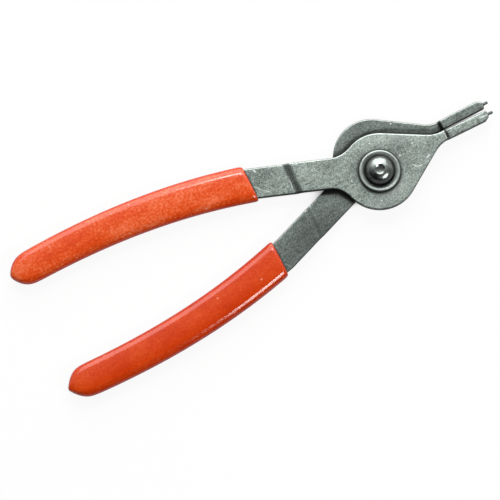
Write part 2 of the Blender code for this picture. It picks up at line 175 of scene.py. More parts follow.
def over(tree: Any, colour: Any, top: str, cover: Any) -> Any:
    """Lays a hex colour over another colour where the cover is high, and returns the mix."""
    mix = add_node(tree, "Mix", {0: cover, 6: colour, 7: linear(top)}, data_type="RGBA")
    return mix.outputs[2]


def total(tree: Any, parts: Sequence[tuple[Any, float]]) -> Any:
    """Adds values up, each times its weight, and returns the sum."""
    result: Any = 0.0
    for value, weight in parts:
        result = add_node(tree, "Math", {0: value, 1: weight, 2: result},
                          operation="MULTIPLY_ADD").outputs["Value"]
    return result


def steepness(tree: Any, start: float, end: float, most: float) -> Any:
    """Finds the parts of a piece that stand steep in the frame.

    Args:
        tree: The material's tree.
        start: The share of Z in the normal at which the cover starts.
        end: The share at which it is full.
        most: The full cover.

    Returns:
        The cover.
    """
    tilt = add_node(tree, "SeparateXYZ", {0: add_node(tree, "TexCoord").outputs["Normal"]})
    level = add_node(tree, "Math", {0: tilt.outputs["Z"]}, operation="ABSOLUTE")
    cover = add_node(tree, "MapRange", {"Value": level.outputs[0], "From Min": start, "From Max": end,
                                        "To Max": most})
    return cover.outputs["Result"]


def set_stops(ramp: Any, *stops: tuple[float, str]) -> None:
    """Sets the stops of a ramp node from rising places and hex colours."""
    elements = ramp.color_ramp.elements
    while len(elements) < len(stops):
        elements.new(0.5)
    for element, (place, code) in zip(list(elements), stops):
        element.position = place
        element.color = linear(code)


def rubbed_edges(tree: Any, radius: float, samples: int, cosines: Point, most: float) -> tuple[Any, Any]:
    """Finds the edges that rubbing wears, by how far a rounded normal turns from the flat one.

    Args:
        tree: The material's tree.
        radius: How far the rounding reaches.
        samples: How many samples it takes.
        cosines: The cosine of the turn at which the cover starts, and the one at which it is full.
        most: The full cover.

    Returns:
        The rounded normal and the cover.
    """
    soft = add_node(tree, "Bevel", {"Radius": radius}, samples=samples).outputs["Normal"]
    same = add_node(tree, "VectorMath", {0: add_node(tree, "NewGeometry").outputs["Normal"], 1: soft},
                    operation="DOT_PRODUCT")
    cover = add_node(tree, "MapRange", {"Value": same.outputs["Value"], "From Min": cosines[0],
                                        "From Max": cosines[1], "To Max": most})
    return soft, cover.outputs["Result"]


def painted_corner_shade(tree: Any, reach: float, start: float, end: float, most: float) -> Any:
    """Finds the corners where shade falls, by how open they are within a reach, and returns the cover for
    painted shade.
    """
    corner = add_node(tree, "AmbientOcclusion", {"Distance": reach}, samples=8)
    cover = add_node(tree, "MapRange", {"Value": corner.outputs["AO"], "From Min": start,
                                        "From Max": end, "To Max": most})
    return cover.outputs["Result"]


class Bench:
    """The workbench: the few moves of the hand that every piece needs."""

    @staticmethod
    def clear() -> None:
        """Deselects everything, so that an operator acts only on the new piece."""
        bpy.ops.object.select_all(action="DESELECT")

    @staticmethod
    def take(piece: Item) -> None:
        """Makes a piece the only selected and the active one."""
        Bench.clear()
        piece.select_set(True)
        bpy.context.view_layer.objects.active = piece

    @staticmethod
    @contextmanager
    def editing(piece: Item) -> Iterator[None]:
        """Opens edit mode on a piece and leaves it again.

        Args:
            piece: The piece to edit.

        Yields:
            Nothing: the operators in the block act on the piece.
        """
        Bench.take(piece)
        bpy.ops.object.mode_set(mode="EDIT")
        try:
            yield
        finally:
            bpy.ops.object.mode_set(mode="OBJECT")

    @staticmethod
    def pick(piece: Item, part: Part, test: Test) -> int:
        """Selects the parts whose place and normal pass a test, in edit mode.

        Args:
            piece: The piece in edit mode.
            part: Whether to pick vertices, edges or faces.
            test: Gets a part's middle and its normal, and says whether to pick it.

        Returns:
            How many parts are picked.
        """
        bpy.ops.mesh.select_mode(type=part.value)
        bpy.ops.mesh.select_all(action="DESELECT")
        bm = bmesh.from_edit_mesh(piece.data)
        if part is Part.VERTS:
            chosen = [v for v in bm.verts if test(v.co, v.normal)]
        elif part is Part.EDGES:
            chosen = [e for e in bm.edges if test((e.verts[0].co + e.verts[1].co) / 2, e.verts[0].normal)]
        else:
            chosen = [f for f in bm.faces if test(f.calc_center_median(), f.normal)]
        for item in chosen:
            item.select_set(True)
        bm.select_flush_mode()
        bmesh.update_edit_mesh(piece.data)
        return len(chosen)

    @staticmethod
    def modify(piece: Item, kind: str, **settings: Any) -> None:
        """Adds a modifier with its settings and applies it.

        Args:
            piece: The piece to change.
            kind: The modifier's type.
            **settings: The modifier's own properties.
        """
        Bench.take(piece)
        modifier = piece.modifiers.new(kind.lower(), kind)
        for name, value in settings.items():
            setattr(modifier, name, value)
        bpy.ops.object.modifier_apply(modifier=modifier.name)

    @staticmethod
    def smooth(piece: Item, degrees: float) -> None:
        """Shades a piece smooth up to edges sharper than an angle, with flat faces kept flat."""
        Bench.take(piece)
        bpy.ops.object.shade_smooth_by_angle(angle=math.radians(degrees))
        Bench.modify(piece, "WEIGHTED_NORMAL", keep_sharp=True, weight=60)

    @staticmethod
    def settle(piece: Item) -> None:
        """Puts a piece's place into its mesh, so that its object stands at the origin."""
        Bench.take(piece)
        bpy.ops.object.transform_apply(location=True, rotation=True, scale=True)

    @staticmethod
    def copy_node(node: Item, name: str) -> Item:
        """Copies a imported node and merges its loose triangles.

        Args:
            node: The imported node.
            name: The copy's name.

        Returns:
            The copy, with its own mesh of merged flat faces.
        """
        Bench.take(node)
        bpy.ops.object.duplicate()
        piece = bpy.context.view_layer.objects.active
        piece.name = piece.data.name = name
        piece.parent = None
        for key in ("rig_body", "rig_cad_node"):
            if key in piece:
                del piece[key]
        with Bench.editing(piece):
            bpy.ops.mesh.customdata_custom_splitnormals_clear()
            bpy.ops.mesh.select_all(action="SELECT")
            bpy.ops.mesh.remove_doubles(threshold=MERGE)
            bpy.ops.mesh.dissolve_limited(angle_limit=math.radians(0.4))
        return piece

    @staticmethod
    def turn(name: str, profile: Sequence[Point], steps: int = 96) -> Item:
        """Turns a profile about the Z axis, as on a lathe.

        Args:
            name: The piece's name.
            profile: The (radius, height) points from one end to the other.
            steps: How many steps make the full circle.

        Returns:
            The closed piece.
        """
        Bench.clear()
        points = [Vector((radius, 0, height)) for radius, height in profile]
        bpy.ops.mesh.primitive_plane_add(size=MM, location=points[0])
        piece = bpy.context.view_layer.objects.active
        piece.name = piece.data.name = name
        Bench.settle(piece)
        ring = profile[0][0] > 1e-6
        with Bench.editing(piece):
            bpy.ops.mesh.select_mode(type="VERT")
            bpy.ops.mesh.select_all(action="SELECT")
            bpy.ops.mesh.merge(type="CENTER")
            for near, far in zip(points, points[1:] + points[:1] * ring):
                bpy.ops.mesh.extrude_region_move(TRANSFORM_OT_translate={"value": far - near})
            bpy.ops.mesh.select_all(action="SELECT")
            bpy.ops.mesh.remove_doubles(threshold=MERGE)
            bpy.ops.mesh.select_all(action="SELECT")
            bpy.ops.mesh.spin(steps=steps, angle=math.tau, center=(0, 0, 0), axis=(0, 0, 1))
            bpy.ops.mesh.select_all(action="SELECT")
            bpy.ops.mesh.remove_doubles(threshold=MERGE)
            bpy.ops.mesh.normals_make_consistent(inside=False)
        return piece


@dataclass(frozen=True)
class Mark:
    """A scratch, a nick or a stroke of painted light and shade on a lever, from one point of the frame's
    plane to another.
    """

    start: Point
    end: Point
    width: float
    strength: float


def marks(*rows: tuple[float, float, float, float, float, float]) -> tuple[Mark, ...]:
    """Makes marks from rows of their start, end and width in millimetres, and their strength."""
    return tuple(Mark((a * MM, b * MM), (c * MM, d * MM), width * MM, strength)
                 for a, b, c, d, width, strength in rows)


FRONT_MARKS = marks(
    # Painted shade in the groove at the root of the finger
    (31.95, -1.4, 31.95, 5.0, 1.1, -0.95),
    # Painted shade in the hollow at the arm's joggle, and a pale line beside it
    (-34.3, 19.5, -34.2, 8.5, 1.5, -0.15),
    (-34.4, 15.1, -35.1, 9.0, 0.5, 0.5),
    # Scratches and nicks of the arm
    (-49.1, 17.8, -46.4, 14.5, 0.5, 0.6),
    (-46.7, 14.7, -43.4, 12.2, 0.45, 0.6),
    (-46.3, 24.2, -45.4, 22.0, 0.9, 0.8),
    (-30.0, 17.9, -28.7, 17.8, 0.7, 0.6),
    (-23.4, 16.5, -22.1, 16.3, 0.7, 0.6),
    # Scratches and bare specks of the head
    (19.3, -3.9, 22.0, -2.7, 0.6, 0.75),
    (13.2, -2.9, 14.7, -5.5, 0.6, 0.6),
    (14.3, -5.4, 17.9, -5.4, 0.6, 0.6),
    (10.0, 2.6, 10.7, 1.8, 0.9, 0.7),
    (16.9, 4.9, 17.4, 4.1, 0.8, 0.7),
    (1.2, 12.4, 1.7, 11.8, 0.8, 0.6),
    (-12.4, 1.8, -11.8, 1.1, 0.9, 0.6),
    (-5.0, -11.0, -4.5, -11.7, 0.9, 0.6),
    # Broad places: paler along the head's upper edge, painted light over the head's lower part, and darker
    # towards the grip
    (-4.0, 15.0, 28.0, 4.0, 6.5, 0.09),
    (-14.0, -12.0, 14.0, -8.0, 9.0, 0.09),
    (-52.0, 23.0, -33.0, 15.0, 15.0, -0.16),
    # Nicks, blotches and the rubbed end of the finger
    (42.4, -0.4, 43.4, -0.2, 0.9, -0.7),
    (36.9, -0.5, 39.1, 0.2, 1.2, -0.4),
    (45.7, 1.7, 50.6, 1.3, 1.0, 0.6),
)
BACK_MARKS = marks(
    (12.8, 16.4, 13.5, 15.6, 0.8, 0.7),
    # Darker towards the grip, and painted shade on the ramp of the finger
    (-18.0, -8.0, -54.0, -15.0, 17.0, -0.40),
    (29.3, 5.4, 32.2, 6.7, 2.4, -0.5),
    # Painted shadow of the front lever along its edges, where it lies over the back lever as the tool lies
    # closed
    (-29.0, 4.2, -16.0, -0.3, 3.0, -0.85),
    (-19.5, 1.5, -13.2, -8.0, 3.0, -0.85),
    (-12.5, 12.9, -0.5, 17.9, 2.4, -0.6),
    (-3.5, 17.2, 8.0, 15.9, 2.0, -0.6),
    (3.0, 17.3, 17.0, 11.6, 1.8, -0.55),
    (14.0, 12.3, 30.0, 4.8, 1.8, -0.55),
)


@dataclass(frozen=True)
class ForgedSteel:
    """Drop-forged steel, tumbled with stones and left with a thin grey-green phosphate skin.

    The stones leave a satin skin with worm-like mottling of about 1 mm, fine pits and scratches, and
    rub the edges bright. Over this the material paints highlight on the edges towards the upper handle,
    and painted shade on the edges facing away, on the steep flanks and in the corners round the joint.
    """

    name: str
    light: str
    mid: str
    dark: str
    grain: float = 0.8 * MM
    roughness: float = 0.42
    metallic: float = 0.45
    # The pale edge colour, for rubbed edges and for the painted highlight on the edges towards the upper
    # handle
    edge: str = "#D9E0DB"
    rubbed: float = 0.85
    # The dark scale colour, laid on as painted shade on the edges facing away and on the steep flanks
    scale: str = "#191C1A"
    shade_black: str = "#0E100E"
    bare_and_lit: str = "#F2F7F4"
    grime_and_shade: str = "#0A0B0A"
    # The side whose edges get painted highlight; the edges facing away get painted shade
    lit_side: Vector = field(default_factory=lambda: Vector((0.446, 0.895, 0.0)))
    marks: tuple[Mark, ...] = ()

    def build(self) -> bpy.types.Material:
        """Makes the material.

        Returns:
            The material.
        """
        material, tree, shader, place = blank_material(self.name)
        # Worm-like mottle of the tumbled skin, and broad clouds of thicker and thinner phosphate
        mottle, speck, cloud = (
            add_node(tree, "TexNoise", {"Vector": place, "Scale": 1 / size, "Detail": detail,
                                        "Distortion": twist}).outputs["Fac"]
            for size, detail, twist in ((self.grain, 2.0, 1.2), (self.grain * 0.5, 1.0, 0.0),
                                        (9 * MM, 2.0, 0.0))
        )
        tone = total(tree, ((mottle, 0.58), (speck, 0.46), (cloud, 0.22)))
        ramp = add_node(tree, "ValToRGB", {"Fac": tone})
        ramp.color_ramp.interpolation = "EASE"
        set_stops(ramp, (0.49, self.dark), (0.63, self.mid), (0.76, self.light))
        colour = ramp.outputs["Color"]
        # Rubbed edges: the stones roll them off within a millimetre and leave them a little lighter
        soft, bright_edges = rubbed_edges(tree, 0.9 * MM, 8, (0.999, 0.95), self.rubbed)
        # Painted light and shade on the edges: those towards the upper handle get the pale edge colour as a
        # painted highlight over their wear, and those facing away get painted shade in the dark scale colour
        inner = add_node(tree, "VectorTransform", {0: soft}, vector_type="NORMAL",
                         convert_from="WORLD", convert_to="OBJECT")
        bearing = add_node(tree, "VectorMath", {0: inner.outputs[0], 1: self.lit_side},
                           operation="DOT_PRODUCT")
        upper = add_node(tree, "MapRange", {"Value": bearing.outputs["Value"], "From Min": -0.12,
                                            "From Max": 0.12, "To Min": 0.25})
        bright_edges = add_node(tree, "MapRange", {"Value": bright_edges, "To Max": upper.outputs["Result"]}).outputs["Result"]
        under = add_node(tree, "MapRange", {"Value": bearing.outputs["Value"], "From Min": -0.10,
                                            "From Max": -0.38, "To Max": 0.85})
        colour = over(tree, colour, self.edge, bright_edges)
        colour = over(tree, colour, self.scale, under.outputs["Result"])
        streak = self._streaks(tree, place)
        colour = over(tree, colour, self.light, streak)
        height = total(tree, ((mottle, 0.5), (speck, 0.5), (streak, -0.5)))
        # Scratches, nicks and blotches in the pale and dark colours, which also carry strokes of painted
        # light and painted shade
        for mark in self.marks:
            cover = self._stroke(tree, place, mark)
            colour = over(tree, colour, self.bare_and_lit if mark.strength > 0 else self.grime_and_shade, cover)
            height = total(tree, ((height, 1.0), (cover, -0.6)))
        # Painted shade: the steep flanks are laid over with the dark scale colour
        shaded_flank = steepness(tree, 0.70, 0.30, 0.88)
        colour = over(tree, colour, self.scale, shaded_flank)
        # Painted shade: the corners round the joint, where little light reaches, are darkened nearly to
        # black
        corner_shade = painted_corner_shade(tree, 3.9 * MM, 0.90, 0.60, 0.97)
        colour = over(tree, colour, self.shade_black, corner_shade)
        tree.links.new(colour, shader.inputs["Base Color"])
        rough = add_node(tree, "MapRange", {"Value": tone, "From Min": 0.4, "From Max": 0.85,
                                            "To Min": self.roughness + 0.07,
                                            "To Max": self.roughness - 0.07})
        smooth = total(tree, ((rough.outputs["Result"], 1.0), (bright_edges, -0.16)))
        tree.links.new(smooth, shader.inputs["Roughness"])
        bump = add_node(tree, "Bump", {"Height": height, "Normal": soft,
                                       "Strength": 0.5, "Distance": 0.06 * MM})
        tree.links.new(bump.outputs["Normal"], shader.inputs["Normal"])
        bare = add_node(tree, "MapRange", {"Value": bright_edges, "To Min": self.metallic})
        tree.links.new(bare.outputs["Result"], shader.inputs["Metallic"])
        return material

    @staticmethod
    def _streaks(tree: Any, place: Any) -> Any:
        """Adds two fields of short fine scratches from the tumbling stones, and returns their cover."""
        fields = []
        for turn, reach, threshold in ((0.5, 9 * MM, 0.70), (1.9, 7 * MM, 0.715)):
            turned = add_node(tree, "Mapping", {"Vector": place, "Rotation": (0, 0, turn),
                                                "Scale": (1 / reach, 1 / (0.35 * MM), 1 / (5 * MM))})
            noise = add_node(tree, "TexNoise", {"Vector": turned.outputs["Vector"], "Scale": 1.0,
                                                "Detail": 0.0})
            line = add_node(tree, "MapRange", {"Value": noise.outputs["Fac"], "From Min": threshold,
                                               "From Max": threshold + 0.06, "To Max": 0.6})
            fields.append((line.outputs["Result"], 1.0))
        return total(tree, fields)

    @staticmethod
    def _stroke(tree: Any, place: Any, mark: Mark) -> Any:
        """Adds one straight mark with soft ends, a scratch, a nick or a stroke of painted light and shade,
        and returns its cover.
        """
        run = Vector(mark.end) - Vector(mark.start)
        middle = (Vector(mark.end) + Vector(mark.start)) / 2
        local = add_node(tree, "Mapping", {"Vector": place, "Location": (*middle, 0),
                                           "Rotation": (0, 0, math.atan2(run.y, run.x)),
                                           "Scale": (run.length / 2, mark.width / 2, 1)},
                         vector_type="TEXTURE")
        flat = add_node(tree, "VectorMath", {0: local.outputs["Vector"], 1: (1, 1, 0)},
                        operation="MULTIPLY")
        reach = add_node(tree, "VectorMath", {0: flat.outputs["Vector"]}, operation="LENGTH")
        cover = add_node(tree, "MapRange", {"Value": reach.outputs["Value"], "From Min": 1.0,
                                            "From Max": 0.4, "To Max": abs(mark.strength)})
        return cover.outputs["Result"]


@dataclass(frozen=True)
class TurnedSteel:
    """Free-cutting steel turned on a lathe and given a black skin in hot salts.

    The tool leaves fine rings about the axis. The black skin is thin: it shines, and its edges are
    rubbed to bare metal.
    """

    name: str
    skin: str
    bare: str
    roughness: float
    ring: float = 0.35 * MM
    rubbed: float = 0.5
    oiled: float = 0.3
    black_skin_and_shade: float = 0.0
    shade_black: str = "#0B0C0B"

    def build(self) -> bpy.types.Material:
        """Makes the material.

        Returns:
            The material.
        """
        material, tree, shader, place = blank_material(self.name)
        # Rings of the turning tool: a wave over the distance from the axis, drawn coarser than real
        flat = add_node(tree, "VectorMath", {0: place, 1: (1, 1, 0)}, operation="MULTIPLY")
        radius = add_node(tree, "VectorMath", {0: flat.outputs["Vector"]}, operation="LENGTH")
        phase = add_node(tree, "Math", {0: radius.outputs["Value"], 1: math.tau / self.ring},
                         operation="MULTIPLY")
        wave = add_node(tree, "Math", {0: phase.outputs["Value"]}, operation="SINE")
        smear = add_node(tree, "TexNoise", {"Vector": place, "Scale": 1 / (1.4 * MM), "Detail": 2.0})
        low = add_node(tree, "MapRange", {"Value": smear.outputs["Fac"], "From Min": 0.45,
                                          "From Max": 0.8, "To Max": 0.45})
        colour = add_node(tree, "Mix", {0: low.outputs["Result"], 6: linear(self.skin),
                                        7: linear(self.bare)}, data_type="RGBA").outputs[2]
        shader.inputs["Metallic"].default_value = 1.0
        if self.black_skin_and_shade:
            # The black skin lasts on the steep sides, and the thumb polishes it off the crown; the black on
            # the steep sides is also painted shade, standing in for their dark reflection
            steep = steepness(tree, 0.86, 0.62, self.black_skin_and_shade)
            colour = over(tree, colour, self.shade_black, steep)
            metal = add_node(tree, "Math", {0: 1.0, 1: steep}, operation="SUBTRACT")
            tree.links.new(metal.outputs[0], shader.inputs["Metallic"])
        _, bright_edges = rubbed_edges(tree, 0.3 * MM, 6, (0.995, 0.9), self.rubbed)
        colour = over(tree, colour, self.bare, bright_edges)
        # Painted shade: the gaps between the turned pieces are darkened nearly to black, and made duller
        corner_shade = painted_corner_shade(tree, 3.0 * MM, 0.86, 0.52, 0.96)
        colour = over(tree, colour, self.shade_black, corner_shade)
        tree.links.new(colour, shader.inputs["Base Color"])
        rough = add_node(tree, "MapRange", {"Value": smear.outputs["Fac"],
                                            "To Min": self.roughness - 0.06,
                                            "To Max": self.roughness + 0.10})
        dull = total(tree, ((rough.outputs["Result"], 1.0), (corner_shade, 0.6)))
        tree.links.new(dull, shader.inputs["Roughness"])
        bump = add_node(tree, "Bump", {"Height": wave.outputs["Value"], "Strength": 0.25,
                                       "Distance": 0.01 * MM})
        tree.links.new(bump.outputs["Normal"], shader.inputs["Normal"])
        shader.inputs["Coat Weight"].default_value = self.oiled
        shader.inputs["Coat Roughness"].default_value = 0.22
        return material


@dataclass(frozen=True)
class DippedVinyl:
    """Vinyl plastisol: the hot tang is dipped in the liquid and the skin is cured in an oven.

    It flows before it sets, so it shines, with long soft runs and ripples, small dust specks and
    pinholes. Its steep flanks get a deeper colour as painted shade.
    """

    name: str
    body: str
    deep: str
    bloom: str
    shaded_flank: str
    grain: float
    roughness: float = 0.12
    dust: str = "#F8B49A"

    def build(self) -> bpy.types.Material:
        """Makes the material.

        Returns:
            The material.
        """
        material, tree, shader, place = blank_material(self.name)
        # Clouds of pigment a centimetre wide, drawn out along the handle as the vinyl ran down it
        along = add_node(tree, "Mapping", {"Vector": place, "Scale": (0.45, 1.0, 1.0)})
        cloud = add_node(tree, "TexNoise", {"Vector": along.outputs["Vector"], "Scale": 1 / (6 * MM),
                                            "Detail": 4.0, "Roughness": 0.6})
        mottle = add_node(tree, "TexNoise", {"Vector": place, "Scale": 1 / (1.0 * MM), "Detail": 3.0})
        share = total(tree, ((cloud.outputs["Fac"], 0.6), (mottle.outputs["Fac"], self.grain)))
        middle = 0.3 + self.grain / 2
        ramp = add_node(tree, "ValToRGB", {"Fac": share})
        set_stops(ramp, (middle - 0.14, self.deep), (middle, self.body), (middle + 0.18, self.bloom))
        # Dust specks of about 0.6 mm under the skin
        dust = add_node(tree, "TexVoronoi", {"Vector": place, "Scale": 1 / (6.5 * MM), "Randomness": 1.0})
        speck = add_node(tree, "MapRange", {"Value": dust.outputs["Distance"], "From Min": 0.085,
                                            "From Max": 0.04, "To Max": 0.55})
        colour = over(tree, ramp.outputs["Color"], self.dust, speck.outputs["Result"])
        # Painted shade: the steep flanks get a deeper colour, and they are duller
        steep = steepness(tree, 0.88, 0.45, 0.85)
        colour = over(tree, colour, self.shaded_flank, steep)
        tree.links.new(colour, shader.inputs["Base Color"])
        rough = add_node(tree, "MapRange", {"Value": mottle.outputs["Fac"], "From Min": 0.3,
                                            "From Max": 0.7, "To Min": self.roughness - 0.03,
                                            "To Max": self.roughness + 0.07})
        dull = total(tree, ((rough.outputs["Result"], 1.0), (steep, 0.35)))
        tree.links.new(dull, shader.inputs["Roughness"])
        # Runs and ripples of the set liquid, 3 to 4 mm long, and the dust under the skin as bumps
        ripple = add_node(tree, "TexNoise", {"Vector": along.outputs["Vector"], "Scale": 1 / (2.6 * MM),
                                             "Detail": 0.5})
        height = total(tree, ((ripple.outputs["Fac"], 1.0), (speck.outputs["Result"], 0.8)))
        bump = add_node(tree, "Bump", {"Height": height, "Strength": 0.2,
                                       "Distance": 0.035 * MM})
        tree.links.new(bump.outputs["Normal"], shader.inputs["Normal"])
        shader.inputs["IOR"].default_value = 1.53
        shader.inputs["Subsurface Weight"].default_value = 0.08
        shader.inputs["Subsurface Radius"].default_value = (1.0, 0.25, 0.12)
        shader.inputs["Subsurface Scale"].default_value = 0.8 * MM
        return material


@dataclass(frozen=True)
class DrawnWire:
    """Music wire, drawn through a die: bright, with fine lines along its length."""

    name: str
    colour: str
    roughness: float
    line: str = "#4A4C4E"

    def build(self) -> bpy.types.Material:
        """Makes the material.

        Returns:
            The material.
        """
        material, tree, shader, place = blank_material(self.name)
        lines = add_node(tree, "Mapping", {"Vector": place, "Scale": (1.0, 1.0, 8.0)})
        noise = add_node(tree, "TexNoise", {"Vector": lines.outputs["Vector"], "Scale": 1 / (0.6 * MM),
                                            "Detail": 2.0})
        ramp = add_node(tree, "ValToRGB", {"Fac": noise.outputs["Fac"]})
        set_stops(ramp, (0.3, self.line), (0.6, self.colour))
        tree.links.new(ramp.outputs["Color"], shader.inputs["Base Color"])
        shader.inputs["Roughness"].default_value = self.roughness
        shader.inputs["Metallic"].default_value = 1.0
        return material


Finish = ForgedSteel | TurnedSteel | DippedVinyl | DrawnWire


@dataclass
class Piece:
    """A visible piece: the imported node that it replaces, its body, its slot and its finish."""

    node: str
    body: Body
    slot: str
    finish: Finish

    def wear(self, item: Item) -> Item:
        """Dresses the modelled item, lets it ride on its body and stand for its node.

        Args:
            item: The modelled item.

        Returns:
            The item.
        """
        item.data.materials.clear()
        item.data.materials.append(self.finish.build())
        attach(item, self.body.value)
        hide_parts(self.node)
        LOG.info("%s: %d faces, on %s", item.name, len(item.data.polygons), self.body.value)
        return item


@dataclass
class Lever(Piece):
    """A forged lever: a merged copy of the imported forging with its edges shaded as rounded."""

    def build(self, nodes: dict[str, Item]) -> Item:
        """Builds and dresses the lever.

        Args:
            nodes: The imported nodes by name.

        Returns:
            The lever.
        """
        piece = Bench.copy_node(nodes[self.node], self.node + "_forging")
        Bench.smooth(piece, 38)
        return self.wear(piece)


@dataclass
class Handle:
    """The centreline of the handle, in the lever blank's own plane."""

    knee: Point = (-49.7 * MM, 19.3 * MM)
    slope: float = math.radians(15.6)
    end_height: float = 28.5 * MM
    end_slope: float = math.radians(-3.6)
    length: float = 102.2 * MM
    arm_width: float = 12.66 * MM
    tang_width: float = 10.9 * MM

    @property
    def end(self) -> float:
        """Where the tang ends along X."""
        return self.knee[0] - self.length

    def height(self, x: float) -> float:
        """The centreline's height at x, on a cubic curve with set ends and slopes."""
        share = (self.knee[0] - x) / self.length
        rise = self.end_height - self.knee[1]
        first = math.tan(self.slope) * self.length
        last = math.tan(self.end_slope) * self.length
        square = 3 * rise - 2 * first - last
        return self.knee[1] + share * (first + share * (square + share * (first + last - 2 * rise)))

    def width(self, x: float) -> float:
        """The tang's width at x, tapering to its end."""
        share = min(1.0, max(0.0, (self.knee[0] - x) / self.length))
        return self.arm_width + (self.tang_width - self.arm_width) * share

    def lean(self, x: float) -> float:
        """How much longer a cut across at x is than the handle is wide."""
        slope = (self.height(x - MM) - self.height(x + MM)) / (2 * MM)
        return math.hypot(1, slope)


@dataclass(frozen=True)
class Blank:
    """Where a piece modelled in the lever blank's plane, with z from its middle, stands in the tool."""

    turned_over: bool
    seat: Point = (0.0, 7.1 * MM)
    swing: float = math.radians(0.7)
    middle: float = 5.05 * MM

    def place(self, piece: Item) -> None:
        """Moves a piece from the blank to its own lever, with its place in its mesh."""
        matrix = Matrix.Translation((0, 0, self.middle))
        if self.turned_over:
            matrix = Matrix.Rotation(self.swing, 4, "Z") @ matrix @ Matrix.Rotation(math.pi, 4, "X")
            matrix = matrix @ Matrix.Translation((-self.seat[0], -self.seat[1], 0))
        piece.matrix_world = matrix
        Bench.settle(piece)


